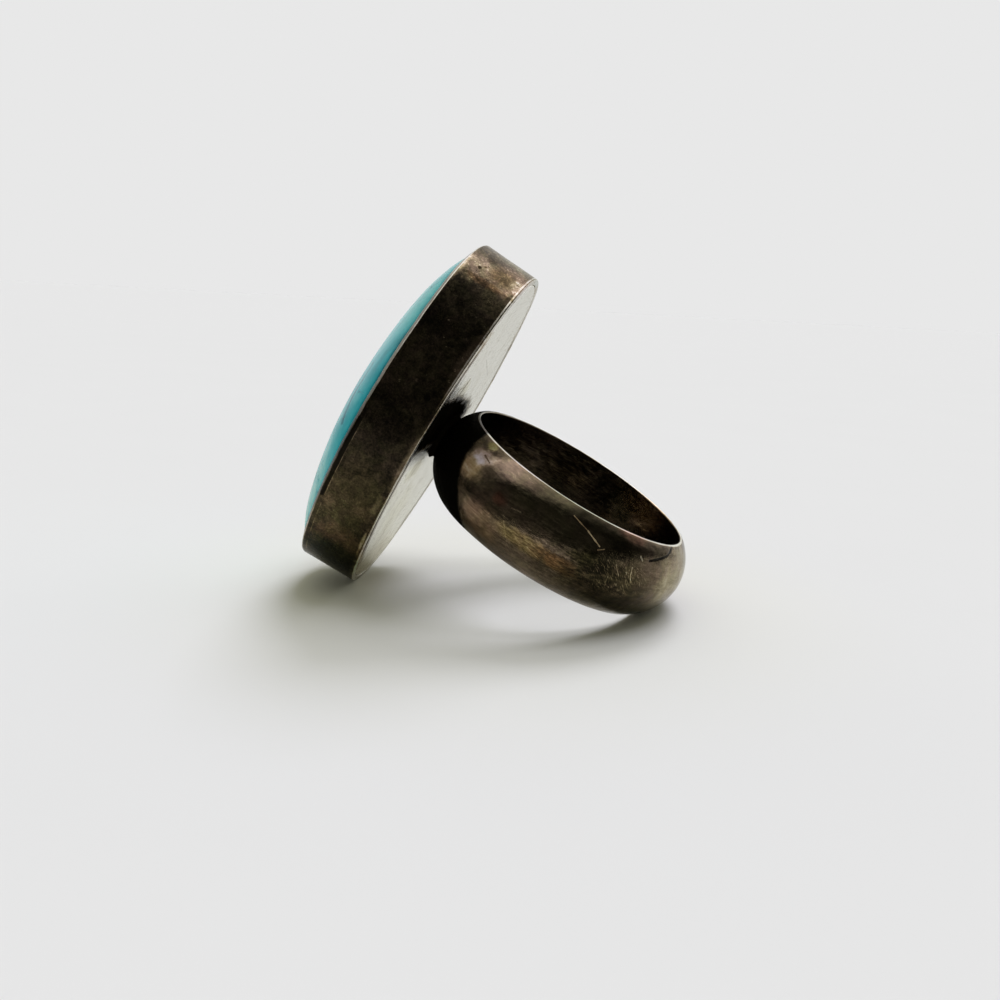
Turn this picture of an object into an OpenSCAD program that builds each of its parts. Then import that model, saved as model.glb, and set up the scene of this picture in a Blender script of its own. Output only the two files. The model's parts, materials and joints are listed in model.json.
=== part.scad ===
// Turquoise ring: a domed oval stone in a plain silver bezel, soldered by its back plate to the crown
// of a half-round band. Millimetres, +Z up, lying as it comes to rest: the lower end of the bezel and
// the lower rim of the band stand on the floor at z = 0. The origin is under the middle of its box.

/* [Finger band] */
// Diameter of the finger hole
bore_d = 18.5; // [14:0.5:23]
// Width of the band along the finger
band_w = 6.5; // [4:0.1:9]
// Thickness of the band at its crown
crown_t = 1.85; // [1.4:0.05:3]
// Thickness that is left at each rim of the band
rim_t = 0.2; // [0.2:0.05:0.8]

/* [Bezel] */
// Length of the oval back plate
oval_l = 28.7; // [24:0.1:34]
// Width of the oval back plate
oval_w = 18.8; // [16:0.1:22]
// Height of the bezel wall, from the plate's back up to the edge where the lip turns in
wall_h = 4.75; // [3.5:0.05:7]
// Thickness of the bezel wall
wall_t = 0.5; // [0.35:0.05:0.8]
// How far the wall leans outwards from foot to lip
flare = 0.2; // [0:0.05:0.4]
// Thickness of the back plate
plate_t = 0.9; // [0.5:0.05:1.5]

/* [Lip, seam and wear] */
// How far the lip is burnished in over the stone
lip_in = 0.75; // [0.6:0.05:1]
// How far the lip rises over that width
lip_rise = 0.35; // [0.2:0.05:0.6]
// Width of the seam between the wall's foot and the plate
seam_w = 0.1; // [0.05:0.01:0.2]
// Depth of that seam
seam_d = 0.15; // [0.05:0.01:0.3]
// Radius of the solder at the foot of the band
solder_r = 2.2; // [1:0.1:3]
// Depth of the flats worn where the ring stands
worn = 0.06; // [0.02:0.01:0.15]

/* [Stone] */
// Height of the dome over its edge at the lip
dome_h = 2.8; // [1.5:0.05:5]
// Clearance round the stone
stone_gap = 0.05; // [0.02:0.01:0.1]

/* [Hidden] */
$fn = 180;

// Band: a segment of a circle on the true cylinder of the finger hole
bore_r = bore_d / 2;
crown_rise = crown_t - rim_t;
crown_r = (band_w * band_w / 4 + crown_rise * crown_rise) / (2 * crown_rise);
solder_sink = 0.05;
band_x = bore_r + crown_t - solder_sink;
solder_h = 0.4;
solder_top_r = 0.6 * solder_r;

// Oval of four arcs after a 3-4-5 triangle: two round ends of end_r about points end_x out on the long
// axis, and two long sides of side_r about points side_y out on the short one. They meet smoothly in
// the direction join from an end's centre.
join = [0.6, 0.8];
half_l = oval_l / 2;
half_w = oval_w / 2;
end_r = (3 * half_w - half_l) / 2;
end_x = half_l - end_r;
side_y = end_x * join[1] / join[0];
side_r = side_y + half_w;
join_a = atan2(join[1], join[0]);
cut_reach = 2 * oval_l;

// Lip: thickness at its thin edge, and how far below the wall's top its underside begins
lip_edge = 0.15;
lip_root = 0.2;

// Stone: [how far outside the oval, height over the plate's back] of its foot, girdle and dome's edge
stone_foot = [-wall_t - stone_gap, plate_t + stone_gap];
stone_girdle = [flare - wall_t - 1.5 * stone_gap, wall_h - 2 * lip_root];
dome_edge = [flare - lip_in - stone_gap, wall_h + 0.1];
// The dome's curve: the powers of a superellipse, and its rings from edge to top
dome_flat = 2.4;
dome_full = 1.4;
dome_rings = 16;
end_steps = 14;
side_steps = 22;

// Rest: the lean at which the bezel's lower end and the band's lower rim stand equally high
lean = atan2(half_l - band_w / 2, band_x + bore_r + rim_t);
floor_drop = half_l * cos(lean) - worn;
// Furthest right once it leans, on the band's crown, and furthest left, on the dome or the lower lip
function leaned_x(x, z) = x * cos(lean) + z * sin(lean);
right_x = leaned_x(band_x + bore_r + crown_t - crown_r, 0) + crown_r;
lip_x = leaned_x(-wall_h, -half_l - flare);
left_x = min([lip_x, for (p = dome_outline()) leaned_x(-p[1], -p[0])]);
mid_x = (right_x + left_x) / 2;

// Height of the dome at k, from 0 in the middle to 1 at its edge
function dome_at(k) = dome_edge[1] + dome_h * pow(1 - pow(k, dome_flat), 1 / dome_full);

// The dome's outline along the oval, as [distance from the middle, height]
function dome_outline() = [for (i = [0:90]) let (k = cos(i)) [k * (half_l + dome_edge[0]), dome_at(k)]];

// Point of the oval, grown by g, where its edge faces the direction a
function oval_point(g, a) =
    let (t = a > 180 ? a - 360 : a)
    abs(t) <= join_a ? [end_x + (end_r + g) * cos(t), (end_r + g) * sin(t)]
    : abs(t) >= 180 - join_a ? [-end_x + (end_r + g) * cos(t), (end_r + g) * sin(t)]
    : [(side_r + g) * cos(t), sign(t) * ((side_r + g) * abs(sin(t)) - side_y)];

// Directions once round the oval: the round ends and the long sides have steps of their own
oval_steps = concat(
    [for (i = [0:end_steps - 1]) -join_a + 2 * join_a * i / end_steps],
    [for (i = [0:side_steps - 1]) join_a + (180 - 2 * join_a) * i / side_steps],
    [for (i = [0:end_steps - 1]) 180 - join_a + 2 * join_a * i / end_steps],
    [for (i = [0:side_steps - 1]) 180 + join_a + (180 - 2 * join_a) * i / side_steps]
);

// One ring of the stone: the oval grown by g, shrunk to k of its size, at height h
function stone_ring(g, k, h) = [for (a = oval_steps) let (p = oval_point(g, a)) [k * p[0], k * p[1], h]];

// Area inside the oval of four arcs, grown by g
module oval_area(g) {
    for (s = [-1, 1])
        translate([s * end_x, 0])
            circle(end_r + g);
    intersection() {
        translate([0, -side_y])
            circle(side_r + g);
        translate([0, side_y])
            circle(side_r + g);
        polygon([
            for (q = [[1, 0], [1, 1], [-1, 1], [-1, 0], [-1, -1], [1, -1]])
                [q[0] * (end_x + abs(q[1]) * cut_reach * join[0]), q[1] * cut_reach * join[1]]
        ]);
    }
}

// Profile swept in a circle of radius r, of which the wedge between the directions a and b is kept
module swept_arc(r, a, b) {
    intersection() {
        rotate_extrude()
            translate([r, 0])
                children();
        translate([0, 0, -oval_l / 2])
            linear_extrude(oval_l)
                polygon([[0, 0], cut_reach * a, cut_reach * b]);
    }
}

// Sweeps a profile round the oval: its x is measured outwards from the oval's edge, its y is height
module along_oval() {
    for (s = [0, 180])
        rotate([0, 0, s]) {
            translate([end_x, 0, 0])
                swept_arc(end_r, [join[0], -join[1]], join)
                    children();
            translate([0, -side_y, 0])
                swept_arc(side_r, join, [-join[0], join[1]])
                    children();
        }
}

// Bezel wall with its lip: straight foot, slight flare, and a top edge burnished in over the stone
module bezel_wall() {
    along_oval()
        polygon([
            [-wall_t, 0],
            [0, 0],
            [flare, wall_h],
            [flare - lip_in, wall_h + lip_rise],
            [flare - lip_in, wall_h + lip_rise - lip_edge],
            [flare - wall_t, wall_h - lip_root],
            [-wall_t, plate_t]
        ]);
}

// Back plate, let in between the wall's feet
module back_plate() {
    linear_extrude(plate_t)
        oval_area(-wall_t / 2);
}

// Seam where the wall's foot meets the plate
module plate_seam() {
    along_oval()
        translate([-wall_t - seam_w, -seam_d])
            square([seam_w, 2 * seam_d]);
}

// Bezel with its long axis along X and its back on z = 0
module bezel() {
    difference() {
        union() {
            bezel_wall();
            back_plate();
        }
        plate_seam();
    }
}

// Half-round band about Z: flat inside, round outside, with thin rims
module finger_band() {
    rotate_extrude()
        intersection() {
            translate([bore_r + crown_t - crown_r, 0])
                circle(crown_r);
            translate([bore_r, -band_w / 2])
                square([crown_t, band_w]);
        }
}

// Solder that fills the corner between the band's crown and the plate
module solder_foot() {
    rotate([0, 90, 0])
        cylinder(r1 = solder_r, r2 = solder_top_r, h = solder_h);
}

// Turns the bezel's own frame, long axis X and dome up, into the ring's: long axis Z, dome towards -X
module onto_band() {
    rotate([0, -90, 0])
        children();
}

// Lays the ring down from its own frame, finger axis Z and back plate on x = 0
module laid_down() {
    translate([-mid_x, 0, floor_drop])
        rotate([0, lean, 0])
            children();
}

// Keeps what stands above the floor, so that the contacts are worn flat
module worn_at_floor() {
    side = 2 * (oval_l + bore_d);
    intersection() {
        children();
        translate([-side / 2, -side / 2, 0])
            cube(side);
    }
}

// Band, back plate and bezel wall, soldered into one piece of silver
module silver_mount() {
    color([0.55, 0.52, 0.47])
        worn_at_floor()
            laid_down()
                union() {
                    onto_band()
                        bezel();
                    translate([band_x, 0, 0])
                        finger_band();
                    solder_foot();
                }
}

// Turquoise cabochon: straight foot in the cup, shoulder under the lip, full dome
module turquoise_stone() {
    rings = concat(
        [stone_ring(stone_foot[0], 1, stone_foot[1])],
        [stone_ring(stone_girdle[0], 1, stone_girdle[1])],
        [for (i = [0:dome_rings - 1])
            let (k = cos(90 * i / dome_rings))
            stone_ring(dome_edge[0], k, dome_at(k))]
    );
    n = len(oval_steps);
    last = (len(rings) - 1) * n;
    crown = n * len(rings);
    foot = crown + 1;
    points = concat([for (r = rings) each r], [[0, 0, dome_edge[1] + dome_h], [0, 0, stone_foot[1]]]);
    sides = [
        for (j = [0:n:last - n])
            for (i = [0:n - 1])
                let (next = (i + 1) % n)
                each [[j + i, j + n + i, j + n + next], [j + i, j + n + next, j + next]]
    ];
    caps = [
        for (i = [0:n - 1])
            let (next = (i + 1) % n)
            each [[crown, last + next, last + i], [foot, i, next]]
    ];
    color([0.36, 0.68, 0.69])
        laid_down()
            onto_band()
                polyhedron(points = points, faces = concat(sides, caps), convexity = 4);
}

silver_mount();
turquoise_stone();
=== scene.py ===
"""Turquoise ring: the looks of its tarnished silver and of its stone, on a pale studio floor.

Sizes are in millimetres and directions in degrees, up to the last step of each shape, which lays the piece
down in the frame in metres. The ring's own axes are X from the back plate to the band, Y across the bezel and
Z along the finger and the bezel's length, with the middle of the plate's back at the origin.
"""
import json
import math

import bpy
from mathutils import Matrix, Vector


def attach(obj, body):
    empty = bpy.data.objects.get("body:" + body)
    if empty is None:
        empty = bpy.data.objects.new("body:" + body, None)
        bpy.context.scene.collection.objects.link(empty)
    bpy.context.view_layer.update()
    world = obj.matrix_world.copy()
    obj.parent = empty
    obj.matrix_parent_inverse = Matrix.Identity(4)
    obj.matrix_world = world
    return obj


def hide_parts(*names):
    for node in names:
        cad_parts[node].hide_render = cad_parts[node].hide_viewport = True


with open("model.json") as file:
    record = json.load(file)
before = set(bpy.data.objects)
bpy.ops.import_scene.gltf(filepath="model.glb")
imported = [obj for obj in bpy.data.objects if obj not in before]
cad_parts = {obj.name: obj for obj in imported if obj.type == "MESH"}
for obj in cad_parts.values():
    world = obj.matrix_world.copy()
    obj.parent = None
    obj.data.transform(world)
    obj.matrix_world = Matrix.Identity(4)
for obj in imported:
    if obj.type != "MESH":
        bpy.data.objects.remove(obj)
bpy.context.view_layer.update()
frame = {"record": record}  # frame["record"] holds the finger hole; silver_mount and turquoise_stone are in cad_parts

MM = 0.001

# Finger band
BAND_WIDTH = 6.5
CROWN_THICK = 1.85
RIM_THICK = 0.2
SOLDER_SINK = 0.05

# Bezel: oval of four arcs after a 3-4-5 triangle, wall, lip and back plate
OVAL_LENGTH = 28.7
OVAL_WIDTH = 18.8
JOIN_RUN, JOIN_RISE = 0.6, 0.8
WALL_HEIGHT = 4.75
WALL_THICK = 0.5
FLARE = 0.2
LIP_IN = 0.75
LIP_RISE = 0.35
PLATE_THICK = 0.9
SEAM_WIDTH = 0.1

# Stone
DOME_HEIGHT = 2.8
STONE_GAP = 0.05

# How the ring lies, from its finger hole
hole = frame["record"]["mounts"][0]
BORE_RADIUS = hole["dims"]["r_mm"]
LEAN = math.atan2(hole["axis"][0], hole["axis"][2])
BAND_X = BORE_RADIUS + CROWN_THICK - SOLDER_SINK
hole_mm = Vector(hole["pos_m"]) / MM
PLATE_BACK = hole_mm - Matrix.Rotation(LEAN, 3, "Y") @ Vector((BAND_X, 0, 0))

# The oval's arcs
HALF_LENGTH = OVAL_LENGTH / 2
HALF_WIDTH = OVAL_WIDTH / 2
END_RADIUS = (3 * HALF_WIDTH - HALF_LENGTH) / 2
END_X = HALF_LENGTH - END_RADIUS
SIDE_Y = END_X * JOIN_RISE / JOIN_RUN
SIDE_RADIUS = SIDE_Y + HALF_WIDTH
JOIN_ANGLE = math.atan2(JOIN_RISE, JOIN_RUN)


# Formulas in node trees


def feed(value, socket):
    """Gives a node's input a value, or another node's output."""
    if isinstance(value, Term):
        value.tree.links.new(value.socket, socket)
    else:
        socket.default_value = value


def add_node(tree, kind, sockets=None, **settings):
    """A new node with its settings and its inputs, which are named or counted."""
    made = tree.nodes.new(kind)
    for name, value in settings.items():
        setattr(made, name, value)
    for name, value in (sockets or {}).items():
        feed(value, made.inputs[name])
    return made


def result(tree, kind, sockets=None, output=0, **settings):
    """What a new node puts out."""
    return Term(tree, add_node(tree, kind, sockets, **settings).outputs[output])


def math_step(operation):
    """A method that adds the Math node of that operation to a formula."""
    def reckon(*values):
        return result(values[0].tree, "ShaderNodeMath", dict(enumerate(values)), operation=operation)
    return reckon


class Term:
    """A value in a node tree. Python's operators on it add the Math nodes of a formula."""

    def __init__(self, tree, socket):
        self.tree = tree
        self.socket = socket

    __add__ = __radd__ = math_step("ADD")
    __sub__ = math_step("SUBTRACT")
    __mul__ = __rmul__ = math_step("MULTIPLY")
    __truediv__ = math_step("DIVIDE")
    __pow__ = math_step("POWER")
    __abs__ = math_step("ABSOLUTE")
    least = math_step("MINIMUM")
    most = math_step("MAXIMUM")
    over = math_step("GREATER_THAN")
    folded = math_step("PINGPONG")
    root = math_step("SQRT")
    sign = math_step("SIGN")
    cosine = math_step("COSINE")
    sine = math_step("SINE")
    angle_from = math_step("ARCTAN2")

    def __neg__(self):
        return self * -1

    def __rsub__(self, other):
        return -self + other

    def __rtruediv__(self, other):
        return self ** -1 * other

    def held(self, low, high):
        return self.most(low).least(high)

    def eased(self, low, high):
        """0 up to low, 1 from high on, and a smooth rise between."""
        sockets = {"Value": self, "From Min": low, "From Max": high}
        return result(self.tree, "ShaderNodeMapRange", sockets, "Result", interpolation_type="SMOOTHSTEP")


def blended(a, b, share):
    """Value a where share is 0, value b where it is 1."""
    return a + (b - a) * share


def vector(tree, x, y, z):
    return result(tree, "ShaderNodeCombineXYZ", {0: x, 1: y, 2: z})


def parts(term):
    split = add_node(term.tree, "ShaderNodeSeparateXYZ", {0: term})
    return [Term(term.tree, output) for output in split.outputs]


def with_vectors(operation, *values):
    """Vector Math, whose length and dot product come out of its second output."""
    sockets = dict(enumerate(values))
    output = 1 if operation in ("LENGTH", "DOT_PRODUCT") else 0
    return result(values[0].tree, "ShaderNodeVectorMath", sockets, output, operation=operation)


# How far a cloud's pattern moves with its seed
SEED_STEP = (7.3, 3.1, 5.7)


def cloud(place, size, detail, rough, seed, warp=0.0):
    """Smooth noise from 0 to 1, with patches of about that size."""
    moved = with_vectors("ADD", place, tuple(seed * step for step in SEED_STEP))
    sockets = {"Vector": moved, "Scale": 1 / size, "Detail": detail, "Roughness": rough, "Distortion": warp}
    return result(place.tree, "ShaderNodeTexNoise", sockets)


NUMBER = "NodeSocketFloat"
WHOLE = "NodeSocketInt"
ARROW = "NodeSocketVector"
COLOUR = "NodeSocketColor"
SHAPE = "NodeSocketGeometry"
FINISH = "NodeSocketMaterial"
SOCKET_OF = {float: NUMBER, int: WHOLE, tuple: ARROW}


def new_tree(name, kind, inputs, outputs):
    """A node tree with named inputs, each with its default or else its type, and outputs with their types."""
    tree = bpy.data.node_groups.new(name, kind)
    for label, value in inputs.items():
        socket_type = SOCKET_OF.get(type(value), value)
        made = tree.interface.new_socket(name=label, in_out="INPUT", socket_type=socket_type)
        if socket_type != value:
            made.default_value = value
    for label, socket_type in outputs.items():
        tree.interface.new_socket(name=label, in_out="OUTPUT", socket_type=socket_type)
    entry = tree.nodes.new("NodeGroupInput")
    given = {output.name: Term(tree, output) for output in entry.outputs if output.name}
    return tree, given, tree.nodes.new("NodeGroupOutput")


def use(tree, group, output, **sockets):
    """A group placed in a tree with its own values: the output that is asked for, or several."""
    made = add_node(tree, group.bl_idname.replace("Tree", "Group"), node_tree=group)
    for name, value in sockets.items():
        feed(value, made.inputs[name.replace("_", " ")])
    if isinstance(output, str):
        return Term(tree, made.outputs[output])
    return [Term(tree, made.outputs[name]) for name in output]


# Shapes


def grid_of(tree, given):
    """A grid from 0 to 1 both ways, round a piece and across it, which a formula then bends."""
    steps = {"Vertices X": given["Steps round"], "Vertices Y": given["Steps across"]}
    grid = result(tree, "GeometryNodeMeshGrid", {"Size X": 1.0, "Size Y": 1.0, **steps}, "Mesh")
    x, y, _ = parts(result(tree, "GeometryNodeInputPosition"))
    return grid, x + 0.5, y + 0.5


# How many points round off a corner of an outline
CORNER_POINTS = 6


def section(corners, factor, closed=True):
    """Where factor, from 0 to 1, comes to on an outline with rounded corners, [x, y, rounding radius]."""
    tree, count = factor.tree, len(corners)
    if closed:
        outline = result(tree, "GeometryNodeCurvePrimitiveCircle", {"Resolution": count})
    else:
        line = result(tree, "GeometryNodeCurvePrimitiveLine")
        outline = result(tree, "GeometryNodeResampleCurve", {"Curve": line, "Count": count})
    index = result(tree, "GeometryNodeInputIndex")
    points = add_node(tree, "GeometryNodeIndexSwitch", data_type="VECTOR")
    radii = add_node(tree, "GeometryNodeIndexSwitch", data_type="FLOAT")
    for switch in (points, radii):
        for _ in range(count - 2):
            switch.index_switch_items.new()
        feed(index, switch.inputs["Index"])
    for number, (x, y, radius) in enumerate(corners):
        feed(vector(tree, x, y, 0.0), points.inputs[str(number)])
        feed(radius, radii.inputs[str(number)])
    point, radius = Term(tree, points.outputs[0]), Term(tree, radii.outputs[0])
    sharp = result(tree, "GeometryNodeSetPosition", {"Geometry": outline, "Position": point})
    sockets = {"Curve": sharp, "Count": CORNER_POINTS, "Radius": radius, "Limit Radius": True}
    rounded = result(tree, "GeometryNodeFilletCurve", sockets, mode="POLY")
    sockets = {"Curves": rounded, "Factor": factor}
    x, y, _ = parts(result(tree, "GeometryNodeSampleCurve", sockets, "Position", mode="FACTOR"))
    return x, y


# Keeps the points where two arcs of the oval join on its ends
ANGLE_CARE = 0.000001


def oval_group():
    """Point of the bezel's oval, by the share of the way round it, from its upper end towards +Y."""
    inputs = {
        "Share": 0.0,
        "Grown by": 0.0,
        "End radius": END_RADIUS,
        "End centre": END_X,
        "Side radius": SIDE_RADIUS,
        "Side centre": SIDE_Y,
        "Join angle": JOIN_ANGLE,
    }
    outputs = {"Along": NUMBER, "Across": NUMBER}
    tree, given, exit_node = new_tree("oval of four arcs", "GeometryNodeTree", inputs, outputs)
    end_r, side_r, join = given["End radius"], given["Side radius"], given["Join angle"]
    end_run = end_r * join
    side_run = side_r * (math.pi / 2 - join)
    half = (end_run + side_run) * 2
    way = (given["Share"] * half * 2).folded(half)
    angle = (
        way.least(end_run) / end_r
        + (way - end_run).held(0.0, side_run * 2) / side_r
        + (way - end_run - side_run * 2).most(0.0) / end_r
    )
    turn = given["Share"].over(0.5) * -2 + 1
    cosine, sine = angle.cosine(), angle.sine()
    on_end = abs(cosine).over(join.cosine() - ANGLE_CARE)
    grown = given["Grown by"]
    end_along = cosine.sign() * given["End centre"] + (end_r + grown) * cosine
    along = blended((side_r + grown) * cosine, end_along, on_end)
    across = blended((side_r + grown) * sine - given["Side centre"], (end_r + grown) * sine, on_end)
    feed(along, exit_node.inputs["Along"])
    feed(across * turn, exit_node.inputs["Across"])
    return tree


# Points this close to each other are one
WELD_REACH = 0.004


def lay_down_group():
    """Turns a piece from the ring's own axes in millimetres to where it lies on the floor, in metres."""
    inputs = {"Shape": SHAPE, "Lean": LEAN, "Plate back": tuple(PLATE_BACK), "Finish": FINISH}
    tree, given, exit_node = new_tree("lay down", "GeometryNodeTree", inputs, {"Shape": SHAPE})
    turn = vector(tree, 0.0, given["Lean"], 0.0)
    sockets = {"Geometry": given["Shape"], "Rotation": turn, "Translation": given["Plate back"]}
    leaned = result(tree, "GeometryNodeTransform", sockets)
    x, y, z = parts(result(tree, "GeometryNodeInputPosition"))
    sockets = {"Geometry": leaned, "Position": vector(tree, x * MM, y * MM, z.most(0.0) * MM)}
    placed = result(tree, "GeometryNodeSetPosition", sockets)
    sockets = {"Geometry": placed, "Distance": WELD_REACH * MM}
    closed = result(tree, "GeometryNodeMergeByDistance", sockets)
    smooth = result(tree, "GeometryNodeSetShadeSmooth", {"Geometry": closed})
    real = result(tree, "GeometryNodeRealizeInstances", {"Geometry": smooth})
    dressed = result(tree, "GeometryNodeSetMaterial", {"Geometry": real, "Material": given["Finish"]})
    feed(dressed, exit_node.inputs["Shape"])
    return tree


OVAL = oval_group()
LAY_DOWN = lay_down_group()


def oval_point(share, grown):
    return use(share.tree, OVAL, ["Along", "Across"], Share=share, Grown_by=grown)


def kept_with(shape, name, value):
    """The shape with a value stored on its points under a name, for its material to read."""
    sockets = {"Geometry": shape, "Name": name, "Value": value}
    return result(shape.tree, "GeometryNodeStoreNamedAttribute", sockets)


def shape_tree(name, sizes):
    inputs = {"Shape": SHAPE, "Finish": FINISH, **sizes}
    return new_tree(name, "GeometryNodeTree", inputs, {"Shape": SHAPE})


def finish_tree(tree, given, exit_node, shape, place):
    """Bends the grid to its place in the ring's axes, and lays it down."""
    bent = result(tree, "GeometryNodeSetPosition", {"Geometry": shape, "Position": place})
    laid = use(tree, LAY_DOWN, "Shape", Shape=bent, Finish=given["Finish"])
    feed(laid, exit_node.inputs["Shape"])
    return tree


def waver(place, size, reach, seed):
    """A hand-made unevenness of that reach either way."""
    return (cloud(place, size, 1.5, 0.5, seed) - 0.5) * 2 * reach


# Radius at which the band's unevenness is read, so that it is the same through its thickness
UNEVEN_RADIUS = 11


def band_tree():
    """Half-round band: a thin flat ring whose thickness swells to the crown."""
    sizes = {
        "Finger hole radius": BORE_RADIUS,
        "Band width": BAND_WIDTH,
        "Crown thickness": CROWN_THICK,
        "Rim thickness": RIM_THICK,
        "Rim rounding": 0.05,
        "Plate to finger axis": BAND_X,
        "Unevenness": 0.022,
        "Steps round": 421,
        "Steps across": 161,
    }
    tree, given, exit_node = shape_tree("half-round band", sizes)
    grid, round_share, across_share = grid_of(tree, given)
    half, rim, rounding = given["Band width"] / 2, given["Rim thickness"], given["Rim rounding"]
    corners = [(0.0, -half, rounding), (rim, -half, rounding), (rim, half, rounding), (0.0, half, rounding)]
    out, along = section(corners, across_share)
    rise = given["Crown thickness"] - rim
    crown_radius = (half * half + rise * rise) / (rise * 2)
    crown = (crown_radius * crown_radius - along * along).root() - crown_radius + rise + rim
    angle = round_share * (2 * math.pi) + math.pi
    cosine, sine = angle.cosine(), angle.sine()
    thick = out / rim * crown
    flat = vector(tree, cosine * UNEVEN_RADIUS, sine * UNEVEN_RADIUS, along)
    radius = given["Finger hole radius"] + thick + waver(flat, 4.5, given["Unevenness"], 1.0)
    along = along + waver(flat, 5.5, given["Unevenness"] * 1.6, 2.0)
    place = vector(tree, radius * cosine + given["Plate to finger axis"], radius * sine, along)
    return finish_tree(tree, given, exit_node, grid, place)


def bezel_tree():
    """High oval wall that flares a little and turns in over the stone as a burnished lip."""
    sizes = {
        "Wall height": WALL_HEIGHT,
        "Wall thickness": WALL_THICK,
        "Flare": FLARE,
        "Lip reach": LIP_IN,
        "Lip rise": LIP_RISE,
        "Lip edge": 0.15,
        "Lip root": 0.2,
        "Plate thickness": PLATE_THICK,
        "Foot rounding": 0.1,
        "Inner foot rounding": 0.08,
        "Shoulder rounding": 0.22,
        "Lip rounding": 0.06,
        "Hidden rounding": 0.05,
        "Unevenness": 0.03,
        "Fine unevenness across": 0.012,
        "Fine unevenness up": 0.014,
        "Steps round": 431,
        "Steps across": 181,
    }
    tree, given, exit_node = shape_tree("bezel wall", sizes)
    grid, round_share, across_share = grid_of(tree, given)
    thick, flare, high = given["Wall thickness"], given["Flare"], given["Wall height"]
    hidden = given["Hidden rounding"]
    lip_x = flare - given["Lip reach"]
    lip_top = high + given["Lip rise"]
    corners = [
        (-thick, 0.0, given["Inner foot rounding"]),
        (0.0, 0.0, given["Foot rounding"]),
        (flare, high, given["Shoulder rounding"]),
        (lip_x, lip_top, given["Lip rounding"]),
        (lip_x, lip_top - given["Lip edge"], hidden),
        (flare - thick, high - given["Lip root"], hidden),
        (-thick, given["Plate thickness"], hidden),
    ]
    out, up = section(corners, across_share)
    along, across = oval_point(round_share, 0.0)
    at = vector(tree, along, across, up)
    near_lip = up.eased(high * 0.6, high)
    out = out + waver(at, 5.0, given["Unevenness"], 3.0)
    out = out + waver(at, 1.3, given["Fine unevenness across"], 4.0)
    moved = up + waver(at, 3.2, given["Unevenness"] * 1.3, 5.0) * near_lip
    moved = moved + waver(at, 1.1, given["Fine unevenness up"], 6.0) * near_lip
    along, across = oval_point(round_share, out)
    grid = kept_with(grid, "height", up)
    return finish_tree(tree, given, exit_node, grid, vector(tree, -moved, across, along))


def plate_tree():
    """Back plate, let in between the feet of the wall with a thin seam round it."""
    sizes = {
        "Plate thickness": PLATE_THICK,
        "Edge inside the oval": WALL_THICK + SEAM_WIDTH,
        "Filled at the ends": SEAM_WIDTH * 0.9,
        "Half width": HALF_WIDTH,
        "Edge rounding": 0.07,
        "Unevenness": 0.02,
        "Steps round": 341,
        "Steps across": 161,
    }
    tree, given, exit_node = shape_tree("back plate", sizes)
    grid, round_share, across_share = grid_of(tree, given)
    wide, thick, rounding = given["Half width"], given["Plate thickness"], given["Edge rounding"]
    corners = [(0.0, 0.0, 0.0), (wide, 0.0, rounding), (wide, thick, rounding), (0.0, thick, 0.0)]
    out, up = section(corners, across_share, closed=False)
    filled = abs((round_share * (2 * math.pi)).cosine()).eased(0.90, 0.99) * given["Filled at the ends"]
    along, across = oval_point(round_share, filled - given["Edge inside the oval"])
    share = out / wide
    at = vector(tree, along * share, across * share, up)
    up = up + waver(at, 6.0, given["Unevenness"], 7.0)
    grid = kept_with(grid, "out", share)
    return finish_tree(tree, given, exit_node, grid, vector(tree, -up, across * share, along * share))


def stone_tree():
    """Cabochon: straight foot in the cup, shoulder under the lip, and a full dome on the oval."""
    sizes = {
        "Dome height": DOME_HEIGHT,
        "Dome foot": WALL_HEIGHT + 0.1,
        "Foot height": PLATE_THICK + STONE_GAP,
        "Foot rounding": 0.1,
        "Edge inside the oval": LIP_IN + STONE_GAP - FLARE,
        "Half width": HALF_WIDTH,
        "Dome flatness": 2.4,
        "Dome fullness": 1.4,
        "Unevenness": 0.02,
        "Steps round": 361,
        "Steps across": 181,
    }
    tree, given, exit_node = shape_tree("turquoise cabochon", sizes)
    grid, round_share, across_share = grid_of(tree, given)
    wide, low, foot = given["Half width"], given["Foot height"], given["Dome foot"]
    corners = [(0.0, low, 0.0), (wide, low, given["Foot rounding"]), (wide, foot, 0.0)]
    out, up = section(corners, (across_share * 2).least(1.0), closed=False)
    climb = (across_share * 2 - 1).most(0.0) * (math.pi / 2)
    share = climb.cosine() * (out / wide)
    full = (1 - share ** given["Dome flatness"]).most(0.0) ** (1 / given["Dome fullness"])
    up = blended(up, foot + given["Dome height"] * full, across_share.over(0.5))
    along, across = oval_point(round_share, -given["Edge inside the oval"])
    at = vector(tree, along * share, across * share, up)
    up = up + waver(at, 5.0, given["Unevenness"], 9.0) * (1 - share ** 6)
    grid = kept_with(grid, "out", share)
    return finish_tree(tree, given, exit_node, grid, vector(tree, -up, across * share, along * share))


# Share of the solder's steps that runs on its hidden side under the band, and again under the plate
HIDDEN_SHARE = 0.15


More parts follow.
